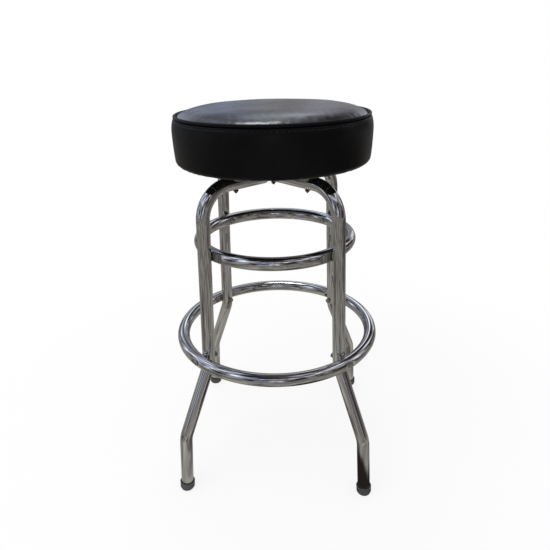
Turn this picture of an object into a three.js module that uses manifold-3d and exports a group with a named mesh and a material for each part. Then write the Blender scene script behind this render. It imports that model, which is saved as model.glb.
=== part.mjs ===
// Diner counter stool with a swivelling round seat, in millimetres, +Z up.
// The origin is on the seat's axis at the floor, and each leg stands on a diagonal of X and Y.
import * as THREE from "three";
import { mergeVertices } from "three/addons/utils/BufferGeometryUtils.js";
import Module from "manifold-3d";

const wasm = await Module();
wasm.setup();

// Fits
const fitGap = 0.3; // between pieces that touch
const cutOverrun = 4; // how far a cutter runs past what it cuts
const weldDistance = 0.001; // vertices closer than this are one

// Chromed steel tube of the leg frames and both rings
const tubeRadius = 12.7;
const tubeWall = 1.2;

// Leg frame: one tube bent in an upright plane. Each reach is from the seat's axis,
// to the point where the centre lines on both sides of a bend would meet.
const crossHeight = 634;
const shoulderRun = 75.45; // out from the swivel's bolts
const shoulderBend = 58;
const kneeSplay = 81.5; // in from the foot
const kneeHeight = 278.5;
const kneeBend = 60;
const ankleSplay = 10.5; // in from the foot
const ankleHeight = 131.5;
const ankleBend = 56;
const footReach = 267;
const crossingRamp = 12; // along the tube, from the pressed crossing back to full round

// Rings, pressed in where the legs nest against them
const upperRingDrop = 126.5; // below the crossing
const upperRingPress = 3.1;
const footRingHeight = 294.5;
const footRingPress = 5.2;
const pocketHalf = 25; // along the ring, from the leg to where the pocket starts to rise
const pocketRamp = 8;
const boltSeatPress = 2.6; // under each bolt's head
const boltSeatHalf = 7.5; // along the ring

// Rubber foot cap
const capWall = 2.2;
const capFloor = 4;
const capHeight = 18;
const capChamfer = 1.6;

// Swivel: two pressed plates with a ball race between them, held by a hollow rivet
const swivelHeight = 17.2;
const plateSide = 160;
const plateCorner = 14;
const plateThickness = 2;
const plateHoleInset = 13.5; // from each edge
const ballRadius = 4;
const ballPitch = 50;
const ballCount = 10;
const ridgeRise = 2.9;
const ridgeRun = 3.4;
const hubRise = 2;
const raceFlange = 8;
const cageThickness = 1.2;
const cageHalfWidth = 6.5;
const rivetRadius = 22;
const rivetWall = 2;
const rivetLip = 6;
const rivetLipThickness = 1.5;

// Fasteners
const swivelBoltRadius = 2.4;
const swivelHeadRadius = 5;
const swivelHeadHeight = 3.2;
const capNutFlats = 8.6;
const capNutHexHeight = 2.6;
const capNutPoint = 4.4;
const capNutBoreDepth = 3.8;
const ringBoltRadius = 3;
const ringHeadRadius = 6;
const ringHeadHeight = 3.2;
const ringNutFlats = 10;
const ringNutHeight = 5;
const ringBoltShow = 2;
const insertRadius = 4.6;
const insertBulge = 1.4;
const insertBulgeLength = 3;
const insertLength = 12;
const screwRadius = 2.1;
const screwHeadRadius = 4.4;
const screwHeadHeight = 2.4;
const screwLength = 12;

// Seat: plywood, foam and a sewn vinyl cover, with its widest point part way up the side
const seatRadius = 188;
const boardInset = 16;
const boardThickness = 12;
const vinylThickness = 1.2;
const weltInset = 7.3;
const weltRadius = 3.5;
const weltHeight = 85.5; // above the board's underside
const crownHeight = 15;
const crownPower = 8;
const seamTuck = 4.3;
const bottomTuck = 1.9;
const bottomCorner = 12;
const wrapWidth = 24; // of cover stapled under the board
const widestShare = 0.68;

// Facets
const tubeSides = 12;
const boreSides = 8;
const roundSides = 8;
const pocketSides = 12;
const ballSides = 8;
const ballRows = 5;
const plateSegments = 28;
const rivetSegments = 20;
const seatSegments = 36;
const weltSides = 6;
const ringSteps = 3;
const bendStep = THREE.MathUtils.degToRad(18);
const cornerStep = THREE.MathUtils.degToRad(30);

// Outlines, as shares of the sizes that they follow
const sideHeightShares = [0, 0.3, 0.68, 0.84, 0.94, 1];
const crownReachShares = [0, 0.62, 0.8, 0.92, 1];
const domeShares = [
  [1, 0.35],
  [0.7, 0.85],
];
const nutPointShares = [
  [0.95, 0.05],
  [0.4, 0.85],
];

// Places that follow
const swivelBase = crossHeight + tubeRadius + fitGap;
const boardBase = swivelBase + swivelHeight + fitGap;
const swivelBoltReach = (plateSide / 2 - plateHoleInset) * Math.SQRT2;
const shoulderReach = swivelBoltReach + shoulderRun;
const kneeReach = footReach - kneeSplay;
const ankleReach = footReach - ankleSplay;
const upperRingHeight = crossHeight - upperRingDrop;
const boardRadius = seatRadius - boardInset;
const wrapReach = boardRadius - wrapWidth;
const weltReach = seatRadius - weltInset;

const corners = [
  { name: "back_right", azimuth: Math.PI / 4 },
  { name: "back_left", azimuth: (3 * Math.PI) / 4 },
  { name: "front_left", azimuth: (5 * Math.PI) / 4 },
  { name: "front_right", azimuth: (7 * Math.PI) / 4 },
];

const finish = (color, roughness, metalness) =>
  new THREE.MeshStandardMaterial({ color, roughness, metalness, flatShading: true });
const chrome = finish(0xc9c9c6, 0.12, 1);
const zinc = finish(0x9a9c9c, 0.4, 1);
const steel = finish(0x8b8f94, 0.25, 1);
const vinyl = finish(0x101012, 0.35, 0);
const foam = finish(0xd8c878, 0.95, 0);
const plywood = finish(0x201e1c, 0.7, 0);
const darkSteel = finish(0x3a2e2c, 0.35, 1);
const rubber = finish(0x2c2c2e, 0.7, 0);
const nylon = finish(0xd9d6cc, 0.5, 0);

const point = (x, y) => new THREE.Vector2(x, y);

// A closed geometry as a solid that can be joined and cut.
function solidOf(geometry) {
  const bare = geometry.index ? geometry.toNonIndexed() : geometry.clone();
  bare.deleteAttribute("normal");
  bare.deleteAttribute("uv");
  const merged = mergeVertices(bare, weldDistance);
  return new wasm.Manifold(
    new wasm.Mesh({
      numProp: 3,
      vertProperties: merged.attributes.position.array,
      triVerts: new Uint32Array(merged.index.array),
    }),
  );
}

function geometryOf(solid) {
  const mesh = solid.getMesh();
  const geometry = new THREE.BufferGeometry();
  geometry.setAttribute("position", new THREE.BufferAttribute(mesh.vertProperties, 3));
  geometry.setIndex(new THREE.BufferAttribute(mesh.triVerts, 1));
  geometry.computeVertexNormals();
  return geometry;
}

function pieceOf(name, geometry, material) {
  const mesh = new THREE.Mesh(geometry, material);
  mesh.name = name;
  return mesh;
}

// Turns a profile of reach and height about Z. It starts and ends on the axis, or closes on itself.
function turned(profile, segments) {
  const onAxis = profile[0].x === 0;
  const outline = onAxis ? [...profile] : [...profile, profile[0].clone()];
  if (THREE.ShapeUtils.area(outline) < 0) outline.reverse();
  return new THREE.LatheGeometry(outline, segments).rotateX(Math.PI / 2);
}

// A round bar along +Z, from its base.
function rod(radius, length, sides = roundSides) {
  const geometry = new THREE.CylinderGeometry(radius, radius, length, sides);
  return geometry.rotateX(Math.PI / 2).translate(0, 0, length / 2);
}

// Moves an outline to its left by a distance, with mitred corners.
function shifted(outline, distance) {
  const normals = outline.slice(1).map((end, i) => {
    const along = end.clone().sub(outline[i]).normalize();
    return point(-along.y, along.x);
  });
  return outline.map((corner, i) => {
    const before = normals[Math.max(i - 1, 0)];
    const after = normals[Math.min(i, normals.length - 1)];
    const spread = distance / (1 + before.dot(after));
    return corner.clone().addScaledVector(before, spread).addScaledVector(after, spread);
  });
}

const sheet = (outline, thickness) => [...outline, ...shifted(outline, thickness).reverse()];

// Joins rings of points into a closed skin. The points run round the way of travel.
function lofted(rings, closed) {
  const sides = rings[0].length;
  const faces = [];
  const bands = closed ? rings.length : rings.length - 1;
  for (let band = 0; band < bands; band++) {
    const low = band * sides;
    const high = ((band + 1) % rings.length) * sides;
    for (let side = 0; side < sides; side++) {
      const next = (side + 1) % sides;
      faces.push(low + side, low + next, high + next, low + side, high + next, high + side);
    }
  }
  const last = (rings.length - 1) * sides;
  for (let side = 1; side < sides - 1 && !closed; side++) {
    faces.push(0, side + 1, side, last, last + side, last + side + 1);
  }
  const geometry = new THREE.BufferGeometry().setFromPoints(rings.flat());
  geometry.setIndex(faces);
  return geometry;
}

// A round section as points across and along the binormal, pushed back to planes on its sides.
// A plane's normal leans, and reach is its distance from the section's centre.
function section(radius, sides, ...planes) {
  return Array.from({ length: sides }, (_, i) => {
    const angle = (i / sides) * Math.PI * 2;
    const spot = point(Math.cos(angle), Math.sin(angle)).multiplyScalar(radius);
    for (const { lean, side, reach } of planes) {
      const normal = point(Math.cos(lean), Math.sin(lean)).multiplyScalar(side);
      spot.addScaledVector(normal, -Math.max(spot.dot(normal) - reach, 0));
    }
    return spot;
  });
}

// 1 inside the pressed length, 0 past its ramp, and a smooth rise between.
function pressed(distance, half, ramp) {
  return 1 - THREE.MathUtils.smoothstep(Math.abs(distance), half, half + ramp);
}

// Stations on a bent centre line, with the direction of travel at each.
function bentLine(ends, bends) {
  const ways = ends.slice(1).map((end, i) => end.clone().sub(ends[i]).normalize());
  const stations = [{ at: ends[0], along: ways[0] }];
  bends.forEach((bend, i) => {
    const turn = Math.atan2(ways[i].cross(ways[i + 1]), ways[i].dot(ways[i + 1]));
    const setback = bend * Math.tan(Math.abs(turn) / 2);
    const start = ends[i + 1].clone().addScaledVector(ways[i], -setback);
    const inward = point(-ways[i].y, ways[i].x).multiplyScalar(Math.sign(turn) * bend);
    const centre = start.clone().add(inward);
    const steps = Math.ceil(Math.abs(turn) / bendStep);
    for (let step = 0; step <= steps; step++) {
      const angle = (turn * step) / steps;
      const along = ways[i].clone().rotateAround(point(0, 0), angle);
      stations.push({ at: start.clone().rotateAround(centre, angle), along });
    }
  });
  return stations;
}

const foot = point(footReach, 0);
const ankle = point(ankleReach, ankleHeight);
const footWay = ankle.clone().sub(foot).normalize();
const tubeEnd = foot.clone().addScaledVector(footWay, capFloor + fitGap);
const legLine = bentLine(
  [tubeEnd, ankle, point(kneeReach, kneeHeight), point(shoulderReach, crossHeight), point(0, crossHeight)],
  [ankleBend, kneeBend, shoulderBend],
);

// The leg's reach from the axis at a height.
function legReach(height) {
  const above = legLine.findIndex((station) => station.at.y >= height);
  const high = legLine[above].at;
  const low = legLine[above - 1].at;
  return THREE.MathUtils.mapLinear(height, low.y, high.y, low.x, high.x);
}

// How a ring of tube, pressed in by some depth, sits against the leg at a height.
function nest(height, press) {
  const flat = tubeRadius - press;
  const half = Math.sqrt(tubeRadius ** 2 - flat ** 2);
  const low = legReach(height - half);
  const high = legReach(height + half);
  const lean = Math.atan2(low - high, 2 * half);
  const apart = (tubeRadius + fitGap + flat) / Math.cos(lean);
  return { lean, flat, apart, leg: (low + high) / 2 };
}

const upperNest = nest(upperRingHeight, upperRingPress);
const upperRingReach = upperNest.leg - upperNest.apart;
const footNest = nest(footRingHeight, footRingPress);
const footRingReach = footNest.leg + footNest.apart;

// One tube of a leg frame, along X. The frames cross at one height, so each is pressed
// to half its depth there: the first from below, the second from above.
function legTube(radius, sides, wall, side, run) {
  const crossingHalf = tubeRadius + fitGap;
  const crossing = [crossingHalf + crossingRamp, crossingHalf + crossingRamp / 2, crossingHalf];
  const half = [
    ...legLine,
    ...crossing.map((reach) => ({ at: point(reach, crossHeight), along: point(-1, 0) })),
  ];
  half[0] = { at: half[0].at.clone().addScaledVector(footWay, -run), along: footWay };
  const far = half.map(({ at, along }) => ({ at: point(-at.x, at.y), along: point(along.x, -along.y) }));
  const rings = [...half, ...far.reverse()].map(({ at, along }) => {
    const depth = pressed(at.x, crossingHalf, crossingRamp) * (at.y === crossHeight);
    const reach = THREE.MathUtils.lerp(radius, -fitGap / 2 - wall, depth);
    return section(radius, sides, { lean: 0, side, reach }).map((spot) =>
      new THREE.Vector3(at.x + along.y * spot.x, spot.y, at.y - along.x * spot.x),
    );
  });
  return solidOf(lofted(rings, false));
}

function legFrame(side) {
  const bore = legTube(tubeRadius - tubeWall, boreSides, tubeWall, side, cutOverrun);
  let frame = legTube(tubeRadius, tubeSides, 0, side, 0).subtract(bore);
  const across = 2 * (tubeRadius + cutOverrun);
  for (const reach of [-swivelBoltReach, 0, swivelBoltReach]) {
    const hole = rod(swivelBoltRadius + fitGap, across).translate(reach, 0, crossHeight - across / 2);
    frame = frame.subtract(solidOf(hole));
  }
  for (const half of [0, Math.PI]) {
    const footHole = rod(ringBoltRadius + fitGap, across).rotateY(Math.PI / 2);
    footHole.translate(legReach(footRingHeight) - across / 2, 0, footRingHeight).rotateZ(half);
    const insertHole = rod(insertRadius + fitGap, across / 2).rotateY(Math.PI / 2);
    insertHole.translate(legReach(upperRingHeight) - across / 2, 0, upperRingHeight).rotateZ(half);
    frame = frame.subtract(solidOf(footHole)).subtract(solidOf(insertHole));
  }
  return geometryOf(frame);
}

// Angles round a ring, falling, with more of them at the pockets of the four legs.
function ringAngles(reach) {
  const start = pocketHalf / reach;
  const end = (pocketHalf + pocketRamp) / reach;
  const quarter = [0, boltSeatHalf / reach, start, end];
  for (let step = 1; step <= ringSteps; step++) {
    quarter.push(THREE.MathUtils.lerp(end, Math.PI / 4, step / ringSteps));
  }
  const mirrored = quarter.slice(1, -1).map((angle) => -angle);
  return corners
    .flatMap(({ azimuth }) => [...quarter, ...mirrored].map((angle) => ({ azimuth, angle })))
    .sort((a, b) => b.azimuth + b.angle - a.azimuth - a.angle);
}

function ringTube(radius, sides, wall, reach, side, { lean, flat }) {
  const rings = ringAngles(reach).map(({ azimuth, angle }) => {
    const depth = pressed(angle * reach, pocketHalf, pocketRamp);
    const pocket = { lean, side, reach: THREE.MathUtils.lerp(radius, flat - wall, depth) };
    const seatDepth = boltSeatPress * pressed(angle * reach, boltSeatHalf, pocketHalf - boltSeatHalf);
    const boltSeat = { lean: 0, side: -side, reach: radius - seatDepth };
    return section(radius, sides, pocket, boltSeat).map((spot) =>
      new THREE.Vector3(reach + spot.x, 0, spot.y).applyAxisAngle(new THREE.Vector3(0, 0, 1), azimuth + angle),
    );
  });
  return solidOf(lofted(rings, true));
}

// A ring with a pocket, a bolt hole and a seat for its head at each leg. Side is 1 for pockets
// on the outer face.
function ring(reach, side, nested) {
  const bore = ringTube(tubeRadius - tubeWall, boreSides, tubeWall, reach, side, nested);
  let tube = ringTube(tubeRadius, tubeSides, 0, reach, side, nested).subtract(bore);
  const across = 2 * (tubeRadius + cutOverrun);
  for (const { azimuth } of corners) {
    const hole = rod(ringBoltRadius + fitGap, across).rotateY(Math.PI / 2);
    hole.translate(reach - across / 2, 0, 0).rotateZ(azimuth);
    tube = tube.subtract(solidOf(hole));
  }
  return geometryOf(tube);
}

// A cup round the tube's end, along +Z from the floor, cut level where it stands.
function footCap(lean) {
  const inner = tubeRadius + fitGap;
  const outer = inner + capWall;
  const profile = [
    point(0, -cutOverrun),
    point(outer - capChamfer, -cutOverrun),
    point(outer - capChamfer, capChamfer),
    point(outer, 2 * capChamfer),
    point(outer, capHeight),
    point(inner, capHeight),
    point(inner, capFloor),
    point(0, capFloor),
  ];
  const cup = turned(profile, tubeSides).rotateY(lean);
  const slab = new THREE.BoxGeometry(4 * outer, 4 * outer, 4 * cutOverrun).translate(0, 0, -2 * cutOverrun);
  return geometryOf(solidOf(cup).subtract(solidOf(slab)));
}

// A steel plate with a ball race pressed in it, rising from the face at height 0.
function swivelPlate() {
  const groove = (ballRadius + fitGap) * Math.tan(Math.PI / 8);
  const valley = swivelHeight / 2 - ballRadius - fitGap;
  const ridge = groove + ridgeRise;
  const hub = hubRise + plateThickness;
  const raceFoot = ballPitch + ridge + ridgeRun;
  const outline = [
    point(rivetRadius + fitGap, hub),
    point(ballPitch - ridge - ridgeRun, hub),
    point(ballPitch - ridge, valley + ridgeRise),
    point(ballPitch - groove, valley),
    point(ballPitch + groove, valley),
    point(ballPitch + ridge, valley + ridgeRise),
    point(raceFoot, plateThickness),
    point(raceFoot + raceFlange, plateThickness),
  ];
  const half = plateSide / 2;
  const flatHalf = half - plateCorner;
  const square = new THREE.Shape();
  for (const { azimuth } of corners) {
    const centre = point(Math.sign(Math.cos(azimuth)), Math.sign(Math.sin(azimuth))).multiplyScalar(flatHalf);
    square.absarc(centre.x, centre.y, plateCorner, azimuth - Math.PI / 4, azimuth + Math.PI / 4);
  }
  square.holes.push(new THREE.Path().absarc(0, 0, raceFoot + raceFlange / 2, 0, Math.PI * 2, true));
  const flat = new THREE.ExtrudeGeometry(square, {
    depth: plateThickness,
    bevelEnabled: false,
    curveSegments: roundSides / 2,
  });
  let plate = solidOf(flat).add(solidOf(turned(sheet(outline, -plateThickness), plateSegments)));
  for (const { azimuth } of corners) {
    const hole = rod(swivelBoltRadius + fitGap, plateThickness + 2 * cutOverrun);
    hole.translate(swivelBoltReach, 0, -cutOverrun).rotateZ(azimuth);
    plate = plate.subtract(solidOf(hole));
  }
  return geometryOf(plate);
}

// The flat ring that keeps the balls apart, with its middle at height 0.
function ballCage() {
  const ringShape = new THREE.Shape().absarc(0, 0, ballPitch + cageHalfWidth, 0, Math.PI * 2);
  ringShape.holes.push(new THREE.Path().absarc(0, 0, ballPitch - cageHalfWidth, 0, Math.PI * 2, true));
  let cage = solidOf(
    new THREE.ExtrudeGeometry(ringShape, {
      depth: cageThickness,
      bevelEnabled: false,
      curveSegments: rivetSegments,
    }).translate(0, 0, -cageThickness / 2),
  );
  for (let ball = 0; ball < ballCount; ball++) {
    const pocket = rod(ballRadius + fitGap, cageThickness + 2 * cutOverrun, pocketSides);
    pocket.translate(ballPitch, 0, -cageThickness / 2 - cutOverrun);
    pocket.rotateZ((ball / ballCount) * Math.PI * 2);
    cage = cage.subtract(solidOf(pocket));
  }
  return geometryOf(cage);
}

const rivetBase = hubRise - fitGap - rivetLipThickness; // above the lower plate's face

// The hollow rivet through both plates, whose lips hold them together.
function hollowRivet() {
  const height = swivelHeight - 2 * rivetBase;
  const inner = rivetRadius - rivetWall;
  const lip = rivetRadius + rivetLip;
  return turned(
    [
      point(inner, 0),
      point(lip, 0),
      point(lip, rivetLipThickness),
      point(rivetRadius, rivetLipThickness),
      point(rivetRadius, height - rivetLipThickness),
      point(lip, height - rivetLipThickness),
      point(lip, height),
      point(inner, height),
    ],
    rivetSegments,
  );
}

// A bolt or screw with a domed head: the head's underside is at height 0 and the shank runs down.
function domedBolt(radius, length, headRadius, headHeight, tipLength) {
  return turned(
    [
      point(0, -length),
      point(radius, tipLength - length),
      point(radius, 0),
      point(headRadius, 0),
      ...domeShares.map(([across, up]) => point(headRadius * across, headHeight * up)),
      point(0, headHeight),
    ],
    roundSides,
  );
}

// A hexagon prism along +Z from height 0.
function hexBar(flats, height) {
  const bar = new THREE.CylinderGeometry(flats / Math.sqrt(3), flats / Math.sqrt(3), height, 6);
  return solidOf(bar.rotateX(Math.PI / 2).translate(0, 0, height / 2));
}

// A nut with a closed, pointed end, open at height 0.
function capNut() {
  const end = turned(
    [
      point(0, capNutHexHeight / 2),
      point(capNutFlats / 2, capNutHexHeight / 2),
      ...nutPointShares.map(([across, up]) =>
        point((capNutFlats / 2) * across, capNutHexHeight + capNutPoint * up),
      ),
      point(0, capNutHexHeight + capNutPoint),
    ],
    roundSides,
  );
  const bore = rod(swivelBoltRadius + fitGap, capNutBoreDepth + cutOverrun).translate(0, 0, -cutOverrun);
  const nut = hexBar(capNutFlats, capNutHexHeight).add(solidOf(end));
  return geometryOf(nut.subtract(solidOf(bore)));
}

function ringNut() {
  const bore = rod(ringBoltRadius + fitGap, ringNutHeight + 2 * cutOverrun).translate(0, 0, -cutOverrun);
  return geometryOf(hexBar(ringNutFlats, ringNutHeight).subtract(solidOf(bore)));
}

// The threaded sleeve set in the leg's wall, from the outer face of the wall inwards along +Z.
function threadedInsert() {
  const bore = ringBoltRadius + fitGap;
  const bulge = insertRadius + insertBulge;
  const wallEnd = tubeWall + bulge * Math.tan(Math.PI / boreSides) + fitGap;
  return turned(
    [
      point(bore, 0),
      point(insertRadius, 0),
      point(insertRadius, wallEnd),
      point(bulge, wallEnd + insertBulgeLength / 2),
      point(insertRadius, wallEnd + insertBulgeLength),
      point(insertRadius, insertLength),
      point(bore, insertLength),
    ],
    roundSides,
  );
}

// Seat outlines, in reach and height above the board's underside

const wrapHeight = -fitGap - vinylThickness;
const seamHeight = weltHeight - weltRadius - fitGap;
const panelReach = weltReach - weltRadius - fitGap;

// The rounded lower corner of the cover and its side, up to the seam under the welt.
function sideOutline() {
  const centre = point(seatRadius - bottomTuck - bottomCorner, wrapHeight + bottomCorner);
  const outline = [];
  for (let angle = -Math.PI / 2; angle < -cornerStep / 2; angle += cornerStep) {
    const arm = point(Math.cos(angle), Math.sin(angle)).multiplyScalar(bottomCorner);
    outline.push(arm.add(centre));
  }
  for (const share of sideHeightShares) {
    const low = share < widestShare;
    const past = low ? 1 - share / widestShare : (share - widestShare) / (1 - widestShare);
    const tuck = (low ? bottomTuck : seamTuck) * past ** 2;
    outline.push(point(seatRadius - tuck, THREE.MathUtils.lerp(centre.y, seamHeight, share)));
  }
  outline.push(point(weltReach, seamHeight));
  return outline;
}

function crownOutline(drop) {
  return crownReachShares.map((share) =>
    point(panelReach * share, weltHeight - drop + crownHeight * (1 - share ** crownPower)),
  );
}

function seatSideBand() {
  const outline = [point(wrapReach, wrapHeight), ...sideOutline()];
  return turned(sheet(outline, vinylThickness), seatSegments);
}

function seatTopPanel() {
  return turned([...crownOutline(0), ...crownOutline(vinylThickness).reverse()], seatSegments);
}

function seatFoam() {
  const clear = vinylThickness + fitGap;
  const side = shifted(sideOutline(), clear).slice(1);
  const profile = [
    point(0, boardThickness + fitGap),
    point(boardRadius + fitGap, boardThickness + fitGap),
    point(boardRadius + fitGap, side[0].y),
    ...side,
    point(panelReach, seamHeight),
    ...crownOutline(clear).reverse(),
  ];
  return turned(profile, seatSegments);
}

function seatBoard() {
  const profile = [
    point(0, 0),
    point(boardRadius, 0),
    point(boardRadius, boardThickness),
    point(0, boardThickness),
  ];
  let board = solidOf(turned(profile, seatSegments));
  const depth = screwLength - plateThickness;
  for (const { azimuth } of corners) {
    const hole = rod(screwRadius + fitGap, depth + cutOverrun);
    hole.translate(swivelBoltReach, 0, -cutOverrun).rotateZ(azimuth);
    board = board.subtract(solidOf(hole));
  }
  return geometryOf(board);
}

// Assembly

const stool = new THREE.Group();

function addSeat() {
  const seat = new THREE.Group();
  seat.position.z = boardBase;
  const welt = new THREE.TorusGeometry(weltReach, weltRadius, weltSides, seatSegments);
  const weltPiece = pieceOf("seat_welt", welt, vinyl);
  weltPiece.position.z = weltHeight;
  const topPlate = pieceOf("swivel_top_plate", swivelPlate(), zinc);
  topPlate.position.z = -fitGap;
  topPlate.rotation.x = Math.PI;
  seat.add(
    pieceOf("seat_top_panel", seatTopPanel(), vinyl),
    weltPiece,
    pieceOf("seat_side_band", seatSideBand(), vinyl),
    pieceOf("seat_foam", seatFoam(), foam),
    pieceOf("seat_board", seatBoard(), plywood),
    topPlate,
  );
  for (const { name, azimuth } of corners) {
    const screw = domedBolt(screwRadius, screwLength, screwHeadRadius, screwHeadHeight, 2 * screwRadius);
    const piece = pieceOf("seat_screw_" + name, screw, zinc);
    piece.rotation.set(Math.PI, 0, azimuth);
    piece.position.set(swivelBoltReach * Math.cos(azimuth), swivelBoltReach * Math.sin(azimuth), 0);
    piece.position.z = -2 * fitGap - plateThickness;
    seat.add(piece);
  }
  stool.add(seat);
}

function addBearing() {
  const bearing = new THREE.Group();
  bearing.position.z = swivelBase + swivelHeight / 2;
  bearing.add(pieceOf("ball_cage", ballCage(), nylon));
  for (let ball = 0; ball < ballCount; ball++) {
    const name = "bearing_ball_" + String(ball + 1).padStart(2, "0");
    const piece = pieceOf(name, new THREE.SphereGeometry(ballRadius, ballSides, ballRows), steel);
    const turn = (ball / ballCount) * Math.PI * 2;
    piece.position.set(ballPitch * Math.cos(turn), ballPitch * Math.sin(turn), 0);
    bearing.add(piece);
  }
  stool.add(bearing);
}

function addFrame() {
  const over = pieceOf("leg_frame_over", legFrame(-1), chrome);
  over.rotation.z = corners[0].azimuth;
  const under = pieceOf("leg_frame_under", legFrame(1), chrome);
  under.rotation.z = corners[1].azimuth;
  const upperRing = pieceOf("upper_ring", ring(upperRingReach, 1, upperNest), chrome);
  upperRing.position.z = upperRingHeight;
  const footRing = pieceOf("foot_ring", ring(footRingReach, -1, footNest), chrome);
  footRing.position.z = footRingHeight;
  const bottomPlate = pieceOf("swivel_bottom_plate", swivelPlate(), zinc);
  bottomPlate.position.z = swivelBase;
  const rivet = pieceOf("swivel_hollow_rivet", hollowRivet(), steel);
  rivet.position.z = swivelBase + rivetBase;
  stool.add(over, under, upperRing, footRing, bottomPlate, rivet);
}

// A bolt down through a crossing tube, with its cap nut under the tube.
function addTubeBolt(parent, name, reach, top) {
  const underside = crossHeight - tubeRadius - fitGap;
  const length = top - underside + capNutBoreDepth - fitGap;
  const bolt = domedBolt(swivelBoltRadius, length, swivelHeadRadius, swivelHeadHeight, 0);
  const boltPiece = pieceOf(name + "_bolt" + parent.name, bolt, zinc);
  boltPiece.position.set(reach, 0, top);
  const nutPiece = pieceOf(name + "_cap_nut" + parent.name, capNut(), darkSteel);
  nutPiece.position.set(reach, 0, underside);
  nutPiece.rotation.x = Math.PI;
  parent.add(boltPiece, nutPiece);
}

// What is repeated at each leg, in a group turned so that X runs out to the leg.
function addCorner({ name, azimuth }) {
  const corner = new THREE.Group();
  corner.name = "_" + name;
  corner.rotation.z = azimuth;

  addTubeBolt(corner, "swivel", swivelBoltReach, swivelBase + plateThickness + fitGap);

  const cap = pieceOf("foot_cap_" + name, footCap(Math.atan2(footWay.x, footWay.y)), rubber);
  cap.position.x = footReach;

  const seatReach = tubeRadius - boltSeatPress + fitGap;
  const facetTurn = boltSeatHalf / upperRingReach;
  const upperHead = upperRingReach - seatReach - ringHeadRadius * Math.tan(facetTurn / 2);
  const insertFace = legReach(upperRingHeight) - tubeRadius / Math.cos(upperNest.lean);
  const upperLength = insertFace + insertLength - upperHead;
  const upperBolt = domedBolt(ringBoltRadius, upperLength, ringHeadRadius, ringHeadHeight, 0);
  const upperBoltPiece = pieceOf("upper_ring_bolt_" + name, upperBolt, chrome);
  upperBoltPiece.position.set(upperHead, 0, upperRingHeight);
  upperBoltPiece.rotation.y = -Math.PI / 2;
  const insert = pieceOf("upper_ring_insert_" + name, threadedInsert(), zinc);
  insert.position.set(insertFace, 0, upperRingHeight);
  insert.rotation.y = Math.PI / 2;

  const footHead = footRingReach + seatReach;
  const nutFace =
    legReach(footRingHeight + ringNutFlats / 2) - tubeRadius / Math.cos(footNest.lean) - fitGap;
  const footLength = footHead - nutFace + ringNutHeight + ringBoltShow;
  const footBolt = domedBolt(ringBoltRadius, footLength, ringHeadRadius, ringHeadHeight, 0);
  const footBoltPiece = pieceOf("foot_ring_bolt_" + name, footBolt, chrome);
  footBoltPiece.position.set(footHead, 0, footRingHeight);
  footBoltPiece.rotation.y = Math.PI / 2;
  const nut = pieceOf("foot_ring_nut_" + name, ringNut(), zinc);
  nut.position.set(nutFace, 0, footRingHeight);
  nut.rotation.y = -Math.PI / 2;

  corner.add(cap, upperBoltPiece, insert, footBoltPiece, nut);
  stool.add(corner);
}

addSeat();
addBearing();
addFrame();
addTubeBolt(stool, "crossing", 0, crossHeight + tubeRadius + fitGap);
corners.forEach(addCorner);

export default stool;
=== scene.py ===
# A diner counter stool: a round vinyl seat that turns on crossed legs of bent chrome tube.
# All sizes are in metres, +Z is up, and the seat's axis stands at X = Y = 0.
import math

import bmesh
import bpy
from mathutils import Matrix, Vector, noise


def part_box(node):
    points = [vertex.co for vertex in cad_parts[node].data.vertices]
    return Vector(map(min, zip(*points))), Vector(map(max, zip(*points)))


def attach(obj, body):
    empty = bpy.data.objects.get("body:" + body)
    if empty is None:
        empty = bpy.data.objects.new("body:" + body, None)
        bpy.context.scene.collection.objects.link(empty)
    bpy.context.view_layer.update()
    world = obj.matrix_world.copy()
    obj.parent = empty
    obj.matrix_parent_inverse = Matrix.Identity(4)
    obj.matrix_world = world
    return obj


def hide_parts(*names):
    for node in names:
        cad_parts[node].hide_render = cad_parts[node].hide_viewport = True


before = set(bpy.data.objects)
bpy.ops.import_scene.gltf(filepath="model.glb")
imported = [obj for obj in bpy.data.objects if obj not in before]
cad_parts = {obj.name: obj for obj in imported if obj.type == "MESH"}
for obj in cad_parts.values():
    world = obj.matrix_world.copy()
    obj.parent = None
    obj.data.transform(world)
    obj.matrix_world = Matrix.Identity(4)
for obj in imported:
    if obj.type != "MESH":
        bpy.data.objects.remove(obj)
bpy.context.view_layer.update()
scene = bpy.context.scene
up = Vector((0, 0, 1))

# Camera. It stands close in front of the stool and a little above the seat,
# looking down at the foot ring, as the photograph was taken.
camera_place = (0.05931, -0.96667, 0.85448)
camera_heading = math.radians(3.592)
camera_tilt = math.radians(65.704)
camera_roll = math.radians(-1.278)
camera_focal = 32.433


def shown(name, data):
    """A new object in the scene."""
    made = bpy.data.objects.new(name, data)
    scene.collection.objects.link(made)
    return made


camera_lens = bpy.data.cameras.new("camera")
camera_lens.lens = camera_focal
camera = shown("camera", camera_lens)
camera.matrix_world = (
    Matrix.Translation(camera_place)
    @ Matrix.Rotation(camera_heading, 4, "Z")
    @ Matrix.Rotation(camera_tilt, 4, "X")
    @ Matrix.Rotation(camera_roll, 4, "Z")
)
scene.camera = camera

# Studio. A plain white floor and white surround, lit softly from above. Chrome and vinyl
# mirror a room instead: a beige floor with painted shadow under the stool, dim shelves, pale walls and lights
# over and behind.
floor_half = 8.0
floor_paint = (0.93, 0.93, 0.93, 1)
surround_strength = 0.8
room_shades = [
    (0.0, (0.02, 0.012, 0.014)), (0.3, (0.085, 0.064, 0.07)), (0.5, (0.26, 0.245, 0.265)),
    (0.7, (0.5, 0.52, 0.57)), (0.85, (0.8, 0.84, 0.92)), (1.0, (1.5, 1.58, 1.7)),
]
floor_shades = [
    (0.0, (0.03, 0.022, 0.021)), (0.3, (0.12, 0.105, 0.102)), (0.5, (0.26, 0.245, 0.23)),
    (0.7, (0.39, 0.375, 0.34)), (1.0, (0.6, 0.6, 0.56)),
]
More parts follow.
